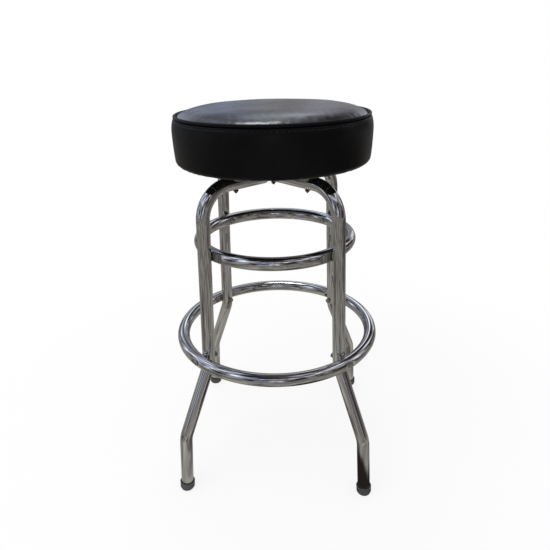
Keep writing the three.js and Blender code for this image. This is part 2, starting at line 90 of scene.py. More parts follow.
# (heading from straight behind the stool, elevation, inner and outer radius in degrees, change)
room_patches = [
    (-118, 24, 12, 44, 0.22), (-72, 44, 6, 30, 0.2), (60, 34, 6, 24, 0.2), (90, 46, 8, 28, 0.26),
    (105, 3, 10, 42, -0.38), (150, 5, 10, 40, -0.08), (27, 36, 6, 18, -0.24), (165, 68, 15, 40, -0.14),
    (-140, 66, 8, 24, -0.24), (-60, 68, 3, 10, 0.4), (-12, 7, 2, 9, -0.14), (3, 7, 3, 9, 0.14),
    (-10, 29, 8, 22, 0.14), (160, 42, 1.5, 4, 0.6), (-172, 42, 3, 10, 0.5), (-155, 54, 1.5, 5, 0.5),
    (118, 52, 1.5, 5, 0.5), (104, 31, 2, 8, 0.4), (-144, 1, 8, 18, -0.24), (-128, 2, 5, 13, -0.22),
    (-84, 2, 8, 22, -0.14), (24, 2, 4, 14, -0.14), (170, 20, 8, 20, -0.16),
]
# (place from left to right, tint)
room_tints = [
    (0.25, (0.96, 1.0, 1.08)), (0.43, (0.84, 0.97, 1.2)), (0.465, (0.98, 1.0, 0.96)),
    (0.53, (0.97, 0.98, 1.02)), (0.8, (1.0, 1.0, 1.0)),
]
# (X, Y, inner and outer radius in metres, change). The first four darken the floor that gloss sees round the
# front feet and under the stool: painted shadow, since that floor glows and takes no real shade.
floor_patches_and_painted_shadows = [
    (0.16, -0.19, 0.075, 0.14, -0.8), (0.15, 0.04, 0.04, 0.2, -0.26), (-0.02, -0.11, 0.06, 0.2, -0.3),
    (-0.03, -0.11, 0.02, 0.1, -0.22), (-0.75, -0.45, 0.15, 0.5, -0.3), (-0.3, -0.4, 0.1, 0.6, 0.08),
    (0.0, 0.0, 0.3, 1.6, 0.1), (2.6, 0.2, 0.6, 2.2, -0.3), (0.0, 0.3, 0.1, 0.7, 0.06),
]


def node(tree, kind, operation=None, **settings):
    """A new shader node. Inputs are set by their names in lower case."""
    made = tree.nodes.new("ShaderNode" + kind)
    if operation:
        made.operation = operation
    for name, value in settings.items():
        made.inputs[name.replace("_", " ").title()].default_value = value
    return made


def link(tree, *pairs):
    for source, target in pairs:
        tree.links.new(source, target)


def ramp(tree, source, stops):
    """Colours or levels over a pattern, from (place, colour) stops."""
    made = node(tree, "ValToRGB")
    bands = made.color_ramp.elements
    while len(bands) < len(stops):
        bands.new(0.5)
    for band, (place, colour) in zip(bands, stops):
        band.position = place
        level = colour if isinstance(colour, tuple) else (colour,) * 3
        band.color = (*level, 1.0)
    link(tree, (source, made.inputs["Fac"]))
    return made.outputs["Color"]


def rise(tree, source, low, high, most=1.0):
    """0 below low, most above high, and smooth between."""
    made = node(tree, "MapRange", from_min=low, from_max=high, to_max=most)
    made.interpolation_type = "SMOOTHSTEP"
    link(tree, (source, made.inputs["Value"]))
    return made.outputs["Result"]


def blended(tree, share, first, second):
    """Two shaders, mixed by a share of the second."""
    made = node(tree, "MixShader")
    link(tree, *zip((share, first, second), made.inputs))
    return made.outputs[0]


def combined(tree, kind, *numbers):
    """Two numbers, added or multiplied. Either may be a plain value."""
    made = node(tree, "Math", kind)
    for number, socket in zip(numbers, made.inputs):
        if isinstance(number, (int, float)):
            socket.default_value = number
        else:
            link(tree, (number, socket))
    return made.outputs[0]


def moved(tree, kind, source, by=(0, 0, 0)):
    """A vector after an operation with a second vector, which may be fixed or a pattern."""
    made = node(tree, "VectorMath", kind)
    link(tree, (source, made.inputs[0]))
    if isinstance(by, tuple):
        made.inputs[1].default_value = by
    else:
        link(tree, (by, made.inputs[1]))
    return made.outputs["Value" if kind in ("DISTANCE", "DOT_PRODUCT") else "Vector"]


def mottled(tree, place, scale, contrast):
    """A broken-up pattern about 0.5, with so much contrast."""
    made = node(tree, "TexNoise", scale=scale, detail=4.0)
    link(tree, (place, made.inputs["Vector"]))
    spread = combined(tree, "MULTIPLY", combined(tree, "SUBTRACT", made.outputs["Fac"], 0.5), contrast)
    return combined(tree, "ADD", spread, 0.5)


def surround():
    world = bpy.data.worlds.new("surround")
    world.use_nodes = True
    tree = world.node_tree
    tree.nodes.clear()
    way = node(tree, "TexCoord").outputs["Generated"]
    level = mottled(tree, moved(tree, "MULTIPLY", way, (1.0, 1.0, 0.7)), 3.6, 3.0)
    for heading, elevation, inner, outer, change in room_patches:
        heading, elevation, inner, outer = map(math.radians, (heading, elevation, inner, outer))
        out = math.cos(elevation)
        centre = (out * math.sin(heading), out * math.cos(heading), math.sin(elevation))
        share = rise(tree, moved(tree, "DOT_PRODUCT", way, centre), math.cos(outer), math.cos(inner), change)
        level = combined(tree, "ADD", level, share)
    across = combined(tree, "ADD", moved(tree, "DOT_PRODUCT", way, (0.5, 0, 0)), 0.5)
    room = moved(tree, "MULTIPLY", ramp(tree, level, room_shades), ramp(tree, across, room_tints))
    seen = node(tree, "Background")
    link(tree, (room, seen.inputs["Color"]))
    plain = node(tree, "Background", color=(1, 1, 1, 1), strength=surround_strength)
    white = node(tree, "Background", color=(1, 1, 1, 1))
    ray = node(tree, "LightPath").outputs
    lit = blended(tree, ray["Is Camera Ray"], plain.outputs[0], white.outputs[0])
    result = node(tree, "OutputWorld")
    link(tree, (blended(tree, ray["Is Glossy Ray"], lit, seen.outputs[0]), result.inputs[0]))
    return world


def floor_finish():
    finish = bpy.data.materials.new("studio_floor")
    finish.use_nodes = True
    tree = finish.node_tree
    tree.nodes.clear()
    place = node(tree, "TexCoord").outputs["Object"]
    distance = moved(tree, "DISTANCE", place)
    outwards = node(tree, "CombineXYZ")
    link(tree, (combined(tree, "MULTIPLY", distance, 0.9), outwards.inputs["Z"]))
    streaked = moved(tree, "ADD", moved(tree, "NORMALIZE", place), outwards.outputs[0])
    level = combined(tree, "ADD", combined(tree, "MULTIPLY", mottled(tree, streaked, 6.0, 2.4), 0.6),
                     combined(tree, "MULTIPLY", mottled(tree, place, 5.0, 1.6), 0.42))
    # Patches darken or lighten the floor that gloss sees; those by the feet and under the stool are painted
    # shadow.
    for x, y, inner, outer, change in floor_patches_and_painted_shadows:
        fading = rise(tree, moved(tree, "DISTANCE", place, (x, y, 0)), inner, outer, change)
        level = combined(tree, "ADD", level, combined(tree, "SUBTRACT", change, fading))
    seen = node(tree, "Emission")
    link(tree, (ramp(tree, level, floor_shades), seen.inputs["Color"]))
    paint = node(tree, "BsdfDiffuse", color=floor_paint)
    white = node(tree, "Emission")
    ray = node(tree, "LightPath").outputs
    whiter = combined(tree, "ADD", rise(tree, distance, 0.4, 1.2, 0.2), 0.8)
    far = combined(tree, "MULTIPLY", ray["Is Camera Ray"], whiter)
    near = blended(tree, far, paint.outputs[0], white.outputs[0])
    either = blended(tree, ray["Is Glossy Ray"], near, seen.outputs[0])
    clear = node(tree, "BsdfTransparent")
    under = combined(tree, "MULTIPLY", ray["Is Camera Ray"], node(tree, "NewGeometry").outputs["Backfacing"])
    result = node(tree, "OutputMaterial")
    link(tree, (blended(tree, under, either, clear.outputs[0]), result.inputs["Surface"]))
    return finish


def meshed(name, shape):
    """Turns a shape into a mesh."""
    mesh = bpy.data.meshes.new(name)
    shape.to_mesh(mesh)
    shape.free()
    return mesh


def lamp(name, place, target, size, power, mirrored):
    """A softbox. Gloss need not mirror it, because the room has its own lights for that."""
    light = bpy.data.lights.new(name, "AREA")
    light.shape = "RECTANGLE"
    light.size, light.size_y = size
    light.energy = power
    made = shown(name, light)
    aim = Vector(target) - Vector(place)
    made.matrix_world = Matrix.Translation(place) @ aim.to_track_quat("-Z", "Y").to_matrix().to_4x4()
    made.visible_glossy = mirrored


scene.view_settings.view_transform = "Standard"
scene.world = surround()
floor_shape = bmesh.new()
bmesh.ops.create_grid(floor_shape, x_segments=1, y_segments=1, size=floor_half)
floor = shown("studio_floor", meshed("studio_floor", floor_shape))
floor.data.materials.append(floor_finish())
lamp("softbox_above", (-0.9, -0.9, 2.3), (0, 0, 0.5), (1.4, 1.4), 14.0, mirrored=False)
lamp("softbox_behind", (-0.2, 0.33, 2.2), (0, 0, 0.75), (0.6, 0.26), 4.4, mirrored=True)


# Chrome. Tube that was polished and then plated: bright, with a faint orange peel, rubbed
# and finger-marked in places so that its gloss is uneven.
def skin(finish):
    """The inputs of a finish's shader."""
    return finish.node_tree.nodes["Principled BSDF"].inputs


def coated(name, colour, roughness, metallic=0.0, specular=0.5):
    """A finish with its plain colour and gloss set, ready for patterns."""
    finish = bpy.data.materials.new(name)
    finish.use_nodes = True
    inputs = skin(finish)
    inputs["Base Color"].default_value = (*colour, 1.0)
    inputs["Roughness"].default_value = roughness
    inputs["Metallic"].default_value = metallic
    inputs["Specular IOR Level"].default_value = specular
    return finish


def pattern(finish, scale, detail=3.0, stretch=(1.0, 1.0, 1.0), kind="Noise"):
    """A noise or Voronoi pattern over the piece, at so many repeats in a metre."""
    tree = finish.node_tree
    stretched = node(tree, "Mapping", scale=stretch)
    made = node(tree, "Tex" + kind, scale=scale, detail=detail)
    link(tree, (node(tree, "TexCoord").outputs["Object"], stretched.inputs["Vector"]),
         (stretched.outputs["Vector"], made.inputs["Vector"]))
    return made.outputs["Distance" if kind == "Voronoi" else "Fac"]


def varied(finish, socket, scale, stops, **how):
    """Drives one of the shader's sockets by a ramp over a pattern."""
    tree = finish.node_tree
    link(tree, (ramp(tree, pattern(finish, scale, **how), stops), skin(finish)[socket]))


def relief(finish, scale, strength, height, **how):
    """Raises a pattern on the surface, over any relief that is there already."""
    tree, normal = finish.node_tree, skin(finish)["Normal"]
    made = node(tree, "Bump", strength=strength, distance=height)
    for before in normal.links:
        link(tree, (before.from_socket, made.inputs["Normal"]))
    link(tree, (pattern(finish, scale, **how), made.inputs["Height"]), (made.outputs["Normal"], normal))


chrome = coated("polished_chrome", (0.6, 0.6, 0.585), 0.06, metallic=1.0)
varied(chrome, "Base Color", 9.0, [
    (0.3, (0.5, 0.5, 0.485)), (0.5, (0.6, 0.6, 0.585)), (0.75, (0.66, 0.66, 0.65)),
], stretch=(1.0, 1.0, 0.35))
varied(chrome, "Roughness", 38.0, [(0.35, 0.03), (0.55, 0.06), (0.75, 0.16)], detail=6.0)
relief(chrome, 140.0, 0.06, 0.0004, detail=2.0)
relief(chrome, 26.0, 0.12, 0.0012, detail=1.0)

# Leg frames. Two lengths of one-inch chromed steel tube, each bent at the feet, knees and
# shoulders into a pair of legs, and pressed to half its depth where the two cross.
tube_radius = 0.0127
tube_wall = 0.0012
tube_sides = 64
fit_gap = 0.0003
weld_distance = 1e-6
cross_height = 0.634
shoulder_bend = 0.058
knee_height = 0.2785
knee_bend = 0.060
ankle_height = 0.1315
ankle_bend = 0.056
foot_reach = 0.267
bolt_circle = 0.094045  # of the swivel's four bolts
shoulder_reach = bolt_circle + 0.07545
knee_reach = foot_reach - 0.0815
ankle_reach = foot_reach - 0.0105
cap_floor = 0.004
crossing_half = tube_radius + fit_gap
crossing_ramp = 0.012
crossing_spread = 0.10  # how much wider the tube gets where it is pressed
straight_step = 0.005
bend_step = math.radians(3)
corners = {
    corner: math.radians(45 + 90 * number)
    for number, corner in enumerate(("back_right", "back_left", "front_left", "front_right"))
}


def smooth_step(value, low, high):
    share = min(max((value - low) / (high - low), 0.0), 1.0)
    return share * share * (3 - 2 * share)


def pressed(distance, half, slope):
    """1 inside the pressed length, 0 past its slope, and smooth between."""
    return 1 - smooth_step(abs(distance), half, half + slope)


def piece(name, shape, finish, body, slot, *nodes):
    """Makes a shape a piece that rides on a body and stands for the named nodes."""
    for face in shape.faces:
        face.smooth = True
    made = shown(name, meshed(name, shape))
    made.data.materials.append(finish)
    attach(made, body)
    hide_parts(*nodes)
    return made


def placed(name, shape, finish, body, slot, *nodes, crease=0.6):
    """A piece with its points welded, its normals out and its edges sharp past a crease angle."""
    bmesh.ops.remove_doubles(shape, verts=shape.verts, dist=weld_distance)
    bmesh.ops.recalc_face_normals(shape, faces=shape.faces)
    for edge in shape.edges:
        edge.smooth = edge.calc_face_angle(0.0) < crease
    return piece(name, shape, finish, body, slot, *nodes)


def edges_of(geometry):
    return [part for part in geometry if isinstance(part, bmesh.types.BMEdge)]


def extruded(shape, rim):
    """Extrudes a rim of edges in place, and gives its new points and edges."""
    grown = bmesh.ops.extrude_edge_only(shape, edges=rim)["geom"]
    spots = {part for part in grown if isinstance(part, bmesh.types.BMVert)}
    return spots, [edge for edge in edges_of(grown) if set(edge.verts) <= spots]


def drawn_out(shape, rim, travel):
    """Draws a rim of edges out along a straight, and gives the new rim."""
    steps = math.ceil(travel.length / straight_step)
    for _ in range(steps):
        spots, rim = extruded(shape, rim)
        bmesh.ops.translate(shape, verts=list(spots), vec=travel / steps)
    return rim


def slanted(angle):
    return Vector((math.sin(angle), 0, math.cos(angle)))


def bent_tube(line, bends):
    """A tube in the X-Z plane along a line with rounded corners, from its first point to its last."""
    shape = bmesh.new()
    slants = [math.atan2(b.x - a.x, b.z - a.z) for a, b in zip(line, line[1:])]
    at = line[0]
    stand = Matrix.Translation(at) @ Matrix.Rotation(slants[0], 4, "Y")
    bmesh.ops.create_circle(shape, segments=tube_sides, radius=tube_radius, matrix=stand)
    rim = list(shape.edges)
    for corner, bend, slant, after in zip(line[1:-1], bends, slants, slants[1:]):
        turn = after - slant
        setback = bend * math.tan(abs(turn) / 2)
        before = corner - slanted(slant) * setback
        rim = drawn_out(shape, rim, before - at)
        side = Vector((math.cos(slant), 0, -math.sin(slant))) * math.copysign(bend, turn)
        bent = bmesh.ops.spin(shape, geom=rim, cent=before + side, axis=(0, 1, 0), angle=turn,
                              steps=math.ceil(abs(turn) / bend_step))
        rim = edges_of(bent["geom_last"])
        at = corner + slanted(after) * setback
    drawn_out(shape, rim, line[-1] - at)
    return shape


def hollowed(made, wall):
    """Gives a one-skin piece its wall, inwards."""
    inside = made.modifiers.new("wall", "SOLIDIFY")
    inside.thickness = wall
    inside.offset = -1.0


foot = Vector((foot_reach, 0, 0))
ankle = Vector((ankle_reach, 0, ankle_height))
foot_way = (ankle - foot).normalized()
half_line = [foot + foot_way * (cap_floor + fit_gap), ankle, Vector((knee_reach, 0, knee_height)),
             Vector((shoulder_reach, 0, cross_height))]
leg_line = half_line + [Vector((-spot.x, 0, spot.z)) for spot in reversed(half_line)]
leg_bends = [ankle_bend, knee_bend, shoulder_bend, shoulder_bend, knee_bend, ankle_bend]

for layer, heading, side in (("over", corners["back_right"], -1), ("under", corners["back_left"], 1)):
    leg_shape = bent_tube(leg_line, leg_bends)
    for spot in leg_shape.verts:
        depth = pressed(spot.co.x, crossing_half, crossing_ramp)
        if depth and spot.co.z > cross_height - 2 * tube_radius:
            reach = tube_radius + (-fit_gap / 2 - tube_radius) * depth
            past = max((spot.co.z - cross_height) * side - reach, 0.0)
            spot.co.z -= past * side
            spot.co.y *= 1 + crossing_spread * depth
    stand = Matrix.Rotation(heading, 4, "Z")
    bmesh.ops.transform(leg_shape, matrix=stand, verts=leg_shape.verts)
    leg = placed("leg_tube_" + layer, leg_shape, chrome, "frame", "chrome_tube", "leg_frame_" + layer)
    hollowed(leg, tube_wall)

# Rings. One-inch chromed tube rolled into hoops, the upper one inside the legs and the foot
# ring outside them. Each is pressed flat where a leg nests against it, and bolted there.
ring_steps = 380
upper_ring_press = 0.0031
foot_ring_press = 0.0052
pocket_half = 0.025
pocket_slope = 0.008
dimple_depth = 0.0026
dimple_half = 0.0066
dimple_slope = 0.006
leg_lean = math.atan2(knee_reach - shoulder_reach, cross_height - knee_height)
foot_ring_lean = 2.5 * leg_lean  # the knee has begun to bend there


def middle_height(node_name):
    low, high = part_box(node_name)
    return (low.z + high.z) / 2


def spun(shape, steps):
    """Spins all of a shape once round Z."""
    bmesh.ops.spin(shape, geom=shape.verts[:] + shape.edges[:], cent=(0, 0, 0), axis=(0, 0, 1),
                   angle=2 * math.pi, steps=steps, use_merge=True)


def hoop(reach, height, radius, sides, steps):
    shape = bmesh.new()
    stand = Matrix.Translation((reach, 0, height)) @ Matrix.Rotation(math.pi / 2, 4, "X")
    bmesh.ops.create_circle(shape, segments=sides, radius=radius, matrix=stand)
    spun(shape, steps)
    return shape


def ring(name, press, side, lean):
    """A hoop with a pocket at each leg, and across from it a dimple that a bolt's head sits in."""
    height = middle_height(name)
    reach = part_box(name)[1].x - tube_radius
    normal = Vector((math.cos(lean), math.sin(lean))) * side
    shape = hoop(reach, height, tube_radius, tube_sides, ring_steps)
    for spot in shape.verts:
        out = math.hypot(spot.co.x, spot.co.y)
        along = math.radians(math.degrees(math.atan2(spot.co.y, spot.co.x)) % 90 - 45) * reach
        section = Vector((out - reach, spot.co.z - height))
        past = section.dot(normal) - (tube_radius - press * pressed(along, pocket_half, pocket_slope))
        if past > 0:
            section -= normal * past
        apart = math.hypot(along, section.y)
        sunk = tube_radius - dimple_depth * pressed(apart, dimple_half, dimple_slope)
        section.x += side * max(-side * section.x - sunk, 0.0)
        spot.co.xy *= (reach + section.x) / out
        spot.co.z = height + section.y
    made = placed(name + "_tube", shape, chrome, "frame", "chrome_tube", name)
    hollowed(made, tube_wall)


ring("upper_ring", upper_ring_press, 1, leg_lean)
ring("foot_ring", foot_ring_press, -1, foot_ring_lean)

# Foot caps. Black rubber cups pushed over the tube ends, with a rolled lip, and worn level
# and dusty where they stand on the floor.
cap_wall = 0.0022
cap_height = 0.018
cap_round = 0.0024
cap_groove = 0.0003
cap_groove_height = 0.0089
cap_lip = 0.0004
cap_lip_round = 0.0012
cap_lip_depth = 0.0045
cap_mouth_round = 0.0008
cap_worn_edge = 0.0007
turn_steps = 48


def turned(profile, steps=turn_steps):
    """Turns an outline of (reach, height) points about Z. It may start and end on the axis."""
    shape = bmesh.new()
    spots = [shape.verts.new((reach, 0, height)) for reach, height in profile]
    for first, second in zip(spots, spots[1:]):
        shape.edges.new((first, second))
    spun(shape, steps)
    bmesh.ops.remove_doubles(shape, verts=shape.verts, dist=weld_distance)
    return shape


def arc(centre, radius, start, end, steps):
    """Points of a round stretch of an outline, from one angle in degrees to another."""
    angles = [math.radians(start + (end - start) * step / steps) for step in range(steps + 1)]
    return [(centre[0] + radius * math.cos(a), centre[1] + radius * math.sin(a)) for a in angles]


def eased(shape, edges, width, segments=2):
    """Rounds edges off."""
    bmesh.ops.bevel(shape, geom=edges, offset=width, offset_type="OFFSET", segments=segments, profile=0.5,
                    affect="EDGES", material=-1)


rubber = coated("black_rubber", (0.07, 0.07, 0.073), 0.6, specular=0.4)
varied(rubber, "Base Color", 120.0, [
    (0.35, (0.055, 0.055, 0.057)), (0.6, (0.075, 0.075, 0.077)), (0.8, (0.12, 0.118, 0.114)),
], detail=5.0)
varied(rubber, "Roughness", 60.0, [(0.3, 0.5), (0.7, 0.72)], detail=4.0)
relief(rubber, 1400.0, 0.25, 0.0002)

cap_inner = tube_radius + fit_gap
cap_outer = cap_inner + cap_wall
cap_profile = (
    [(0, -cap_wall), (cap_outer - cap_round, -cap_wall)]
    + arc((cap_outer - cap_round, 2 * cap_round), cap_round, -60, 0, 5)
    + [(cap_outer - cap_groove * sunk, cap_groove_height + cap_groove * level)
       for sunk, level in ((0, -3), (1, -1), (1, 1), (0, 3))]
    + [(cap_outer - 0.0001, cap_height - cap_lip_depth)]
    + arc((cap_outer - cap_lip_round + cap_lip, cap_height - cap_lip_round), cap_lip_round, -60, 90, 7)
    + arc((cap_inner + cap_mouth_round, cap_height - cap_mouth_round), cap_mouth_round, 90, 180, 4)
    + [(cap_inner, cap_floor), (0, cap_floor)]
)
foot_lean = math.atan2(foot_way.x, foot_way.z)
for corner, heading in corners.items():
    cap_shape = turned(cap_profile)
    stand = Matrix.Rotation(heading, 4, "Z") @ Matrix.Translation(foot) @ Matrix.Rotation(foot_lean, 4, "Y")
    bmesh.ops.transform(cap_shape, matrix=stand, verts=cap_shape.verts)
    cut = bmesh.ops.bisect_plane(cap_shape, geom=cap_shape.verts[:] + cap_shape.edges[:] + cap_shape.faces[:],
                                 plane_co=(0, 0, 0), plane_no=(0, 0, -1), clear_outer=True)
    rim = edges_of(cut["geom_cut"])
    bmesh.ops.contextual_create(cap_shape, geom=rim)
    eased(cap_shape, rim, cap_worn_edge)
    placed("rubber_cap_" + corner, cap_shape, rubber, "frame", "rubber", "foot_cap_" + corner, crease=0.9)

# Ring bolts. Chromed machine screws with domed, cross-recessed heads. Those of the upper ring
# screw outwards into sleeves in the legs, and those of the foot ring inwards through the leg.
thread_depth_share = 0.54  # of the pitch
head_rim = 0.0004
neck_round = 0.0003
plain_neck = 0.0005
bright_hardware = coated("dulled_chrome_hardware", (0.5, 0.5, 0.47), 0.3, metallic=1.0)
varied(bright_hardware, "Roughness", 300.0, [(0.35, 0.24), (0.7, 0.4)])
relief(bright_hardware, 700.0, 0.08, 0.0001)
zinc = coated("bright_zinc", (0.56, 0.57, 0.57), 0.3, metallic=1.0)
varied(zinc, "Base Color", 70.0, [
    (0.3, (0.47, 0.475, 0.47)), (0.55, (0.57, 0.58, 0.585)), (0.8, (0.63, 0.625, 0.59)),
], detail=5.0)
varied(zinc, "Roughness", 150.0, [(0.3, 0.22), (0.7, 0.42)], detail=5.0)
relief(zinc, 900.0, 0.1, 0.0001)


def threaded(radius, top, bottom, pitch):
    """Outline of a threaded shank, from its top down to its tip."""
    turns = int((top - bottom) / pitch)
    root = radius - thread_depth_share * pitch
    points = []
    for turn in range(turns):
        start = top - turn * pitch
        points += [(radius, start), (radius, start - 0.12 * pitch), (root, start - 0.5 * pitch),
                   (root, start - 0.62 * pitch)]
    return points + [(radius, top - turns * pitch)]


def bitten(made, bites):
    """Cuts shapes out of an object's mesh for good."""
    for bite in bites:
        cutter = made.modifiers.new("bite", "BOOLEAN")
        cutter.operation = "DIFFERENCE"
        cutter.object = shown("bite", meshed("bite", bite))
    bpy.context.view_layer.update()
    made.data = bpy.data.meshes.new_from_object(made.evaluated_get(bpy.context.evaluated_depsgraph_get()))
    for cutter in list(made.modifiers):
        bpy.data.objects.remove(cutter.object)
        made.modifiers.remove(cutter)


def recessed(shape, width, depth, top):
    """Sinks a cross recess into a head, with its top at a height."""
    blades = []
    for quarter in (0, math.pi / 2):
        blade = bmesh.new()
        size = Matrix.Diagonal((width, 0.22 * width, 2 * depth, 1))
        stand = Matrix.Rotation(quarter, 4, "Z") @ Matrix.Translation((0, 0, top)) @ size
        bmesh.ops.create_cube(blade, size=1.0, matrix=stand)
        for spot in blade.verts:
            if spot.co.z < top:
                spot.co.xy *= 0.55
        blades.append(blade)
    head = shown("head", meshed("head", shape))
    bitten(head, blades)
    cut = bmesh.new()
    cut.from_mesh(head.data)
    bpy.data.objects.remove(head)
    return cut


def screw(length, radius, head_radius, head_height, pitch, tip, threads):
    """A domed, cross-recessed screw. Its head's underside is at height 0 and its shank runs down."""
    shank_end = tip - length
    crown = [(head_radius * math.cos(a), head_height * (0.25 + 0.75 * math.sin(a)))
             for a in map(math.radians, range(0, 90, 10))]
    profile = ([(0, head_height)] + crown[::-1] + [(head_radius, head_rim), (head_radius - head_rim, 0)]
               + [(radius + neck_round, 0), (radius, -neck_round)]
               + threaded(radius, min(-plain_neck, shank_end + threads), shank_end, pitch)
               + [(0.35 * radius, -length), (0, -length)])
    return recessed(turned(profile, 40), 1.15 * head_radius, 0.45 * head_height, head_height)


def span_along(node_name, way):
    """Where a CAD node starts and ends along a direction."""
    reaches = [spot.co.dot(way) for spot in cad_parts[node_name].data.vertices]
    return min(reaches), max(reaches)


def aimed(shape, at, way):
    """Turns a shape from +Z to a direction and moves its foot to a point."""
    stand = Matrix.Translation(at) @ up.rotation_difference(way).to_matrix().to_4x4()
    bmesh.ops.transform(shape, matrix=stand, verts=shape.verts)
    return shape


def screwed(name, node_name, spot, way, finish, body, slot, sizes):
    """Puts a screw where a CAD node is, with its head towards a direction."""
    start, end = span_along(node_name, way)
    head_height = sizes["head_height"]
    shape = aimed(screw(end - start - head_height, **sizes), spot + way * (end - head_height), way)
    placed(name, shape, finish, body, slot, node_name)


def outward(heading):
    """The level direction at a heading."""
    return Vector((math.cos(heading), math.sin(heading), 0))


ring_screw = {"radius": 0.003, "head_radius": 0.006, "head_height": 0.0032, "pitch": 0.001,
              "tip": 0.0006, "threads": 0.018}
bolt_heights = {name: middle_height(name + "_bolt_back_left") for name in ("upper_ring", "foot_ring")}
for corner, heading in corners.items():
    for name, way in (("upper_ring", -outward(heading)), ("foot_ring", outward(heading))):
        screwed("%s_screw_%s" % (name, corner), "%s_bolt_%s" % (name, corner), up * bolt_heights[name], way,
                bright_hardware, "frame", "chrome_hardware", ring_screw)

# Sleeves and nuts. Each upper screw ends in a zinc-plated threaded sleeve that is drawn up
# behind the leg's wall, and each foot ring screw in a plain hexagon nut on the leg's inner face.
sleeve_radius = 0.0046
sleeve_ease = 0.0003
sleeve_bulge = 0.006
sleeve_bulge_height = 0.0055
sleeve_bulge_step = 0.0005
nut_flats = 0.010
nut_chamfer = 0.0005
bolt_clear = ring_screw["radius"] + fit_gap


def hexagon(flats, height, bore):
    """A hexagon nut along +Z, with chamfered corners and a round bore."""
    shape = bmesh.new()
    corner_radius = flats / math.sqrt(3)
    near_bore = 1.05 * bore
    rings = []
    for level in (0, height):
        for radius in (bore, corner_radius):
            stand = Matrix.Translation((0, 0, level))
            circle = bmesh.ops.create_circle(shape, segments=6, radius=radius, matrix=stand)
            rings.append(set(circle["verts"]))
    edges = [[edge for edge in shape.edges if set(edge.verts) <= each] for each in rings]
    for first, second in ((0, 1), (1, 3), (3, 2), (2, 0)):
        bmesh.ops.bridge_loops(shape, edges=edges[first] + edges[second])
    bmesh.ops.recalc_face_normals(shape, faces=shape.faces)
    rim = [edge for edge in shape.edges
           if all(abs(spot.co.xy.length - corner_radius) < weld_distance for spot in edge.verts)]
    eased(shape, rim, nut_chamfer)
    bore_sides = [edge for edge in shape.edges if edge.calc_length() > 0.8 * bore
                  and all(spot.co.xy.length < near_bore for spot in edge.verts)
                  and abs(edge.verts[0].co.z - edge.verts[1].co.z) < weld_distance]
    bmesh.ops.subdivide_edges(shape, edges=bore_sides, cuts=5)
    for spot in shape.verts:
        if spot.co.xy.length < near_bore:
            spot.co.xy = spot.co.xy.normalized() * bore
    return shape


dull_zinc = coated("dulled_zinc", (0.34, 0.34, 0.335), 0.42, metallic=1.0)
varied(dull_zinc, "Base Color", 110.0, [
    (0.3, (0.2, 0.195, 0.185)), (0.55, (0.34, 0.34, 0.335)), (0.8, (0.46, 0.455, 0.44)),
], detail=5.0)
for corner, heading in corners.items():
    out = outward(heading)
    start, end = span_along("upper_ring_insert_" + corner, out)
    length = end - start
    swell = [(sleeve_radius, -3), (sleeve_bulge - sleeve_ease, -1), (sleeve_bulge, 0),
             (sleeve_bulge - sleeve_ease, 1), (sleeve_radius, 3)]
    sleeve = turned([(bolt_clear, 0), (sleeve_radius - sleeve_ease, 0), (sleeve_radius, sleeve_ease)]
                    + [(reach, sleeve_bulge_height + sleeve_bulge_step * step) for reach, step in swell]
                    + [(sleeve_radius, length - sleeve_ease), (sleeve_radius - sleeve_ease, length),
                       (bolt_clear, length), (bolt_clear, 0)], 32)
    aimed(sleeve, out * start + up * bolt_heights["upper_ring"], out)
    placed("threaded_sleeve_" + corner, sleeve, zinc, "frame", "zinc_plate", "upper_ring_insert_" + corner)
    start, end = span_along("foot_ring_nut_" + corner, out)
    nut_shape = hexagon(nut_flats, end - start, bolt_clear)
    aimed(nut_shape, out * end + up * bolt_heights["foot_ring"], -out)
    placed("foot_ring_hexagon_nut_" + corner, nut_shape, dull_zinc, "frame", "zinc_plate",
           "foot_ring_nut_" + corner)

# Swivel bolts. Five zinc-plated screws go down through the top of the leg frames, four at the
# corners of the swivel plate and one where the frames cross. Each ends in a pointed cap nut
# of blackened steel, with a reddish heat colour left on it.
swivel_screw = {"radius": 0.0024, "head_radius": 0.005, "head_height": 0.0032, "pitch": 0.0008,
                "tip": 0.0005, "threads": 0.014}
cap_nut_flats = 0.0086
cap_nut_hex_height = 0.0026
cap_nut_overlap = 0.0006
cap_nut_blind = 0.0032
dark_steel = coated("blackened_steel", (0.2, 0.14, 0.13), 0.36, metallic=1.0)
varied(dark_steel, "Base Color", 160.0, [
    (0.35, (0.11, 0.075, 0.072)), (0.55, (0.2, 0.13, 0.12)), (0.75, (0.3, 0.2, 0.18)),
], detail=4.0)
varied(dark_steel, "Roughness", 300.0, [(0.3, 0.28), (0.7, 0.48)])
swivel_spots = {corner: outward(heading) * bolt_circle for corner, heading in corners.items()}


def cap_nut(total):
    """A hexagon with a blunt point on it, open at height 0."""
    bore = swivel_screw["radius"]
    shape = hexagon(cap_nut_flats, cap_nut_hex_height, bore + fit_gap)
    foot_radius = 0.475 * cap_nut_flats
    base = cap_nut_hex_height - cap_nut_overlap
    end = turned([(bore, base), (foot_radius, base), (foot_radius, cap_nut_hex_height + 0.0003),
                  (0.9 * foot_radius, cap_nut_hex_height + 0.001), (0.34 * foot_radius, total - 0.0007),
                  (0.2 * foot_radius, total - 0.0002), (0, total), (0, total - cap_nut_blind),
                  (bore, total - cap_nut_blind), (bore, base)], 36)
    point = meshed("point", end)
    shape.from_mesh(point)
    bpy.data.meshes.remove(point)
    return shape


for corner, spot in {**swivel_spots, "": Vector()}.items():
    bolt_node = "swivel_bolt_" + corner if corner else "crossing_bolt"
    nut_node = "swivel_cap_nut_" + corner if corner else "crossing_cap_nut"
    screwed(bolt_node.replace("bolt", "machine_screw"), bolt_node, spot, up, zinc, "frame", "zinc_plate",
            swivel_screw)
    low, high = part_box(nut_node)
    nut_shape = aimed(cap_nut(high.z - low.z), spot + up * high.z, -up)
    placed(nut_node.replace("cap_nut", "pointed_nut"), nut_shape, dark_steel, "frame", "dark_steel", nut_node)

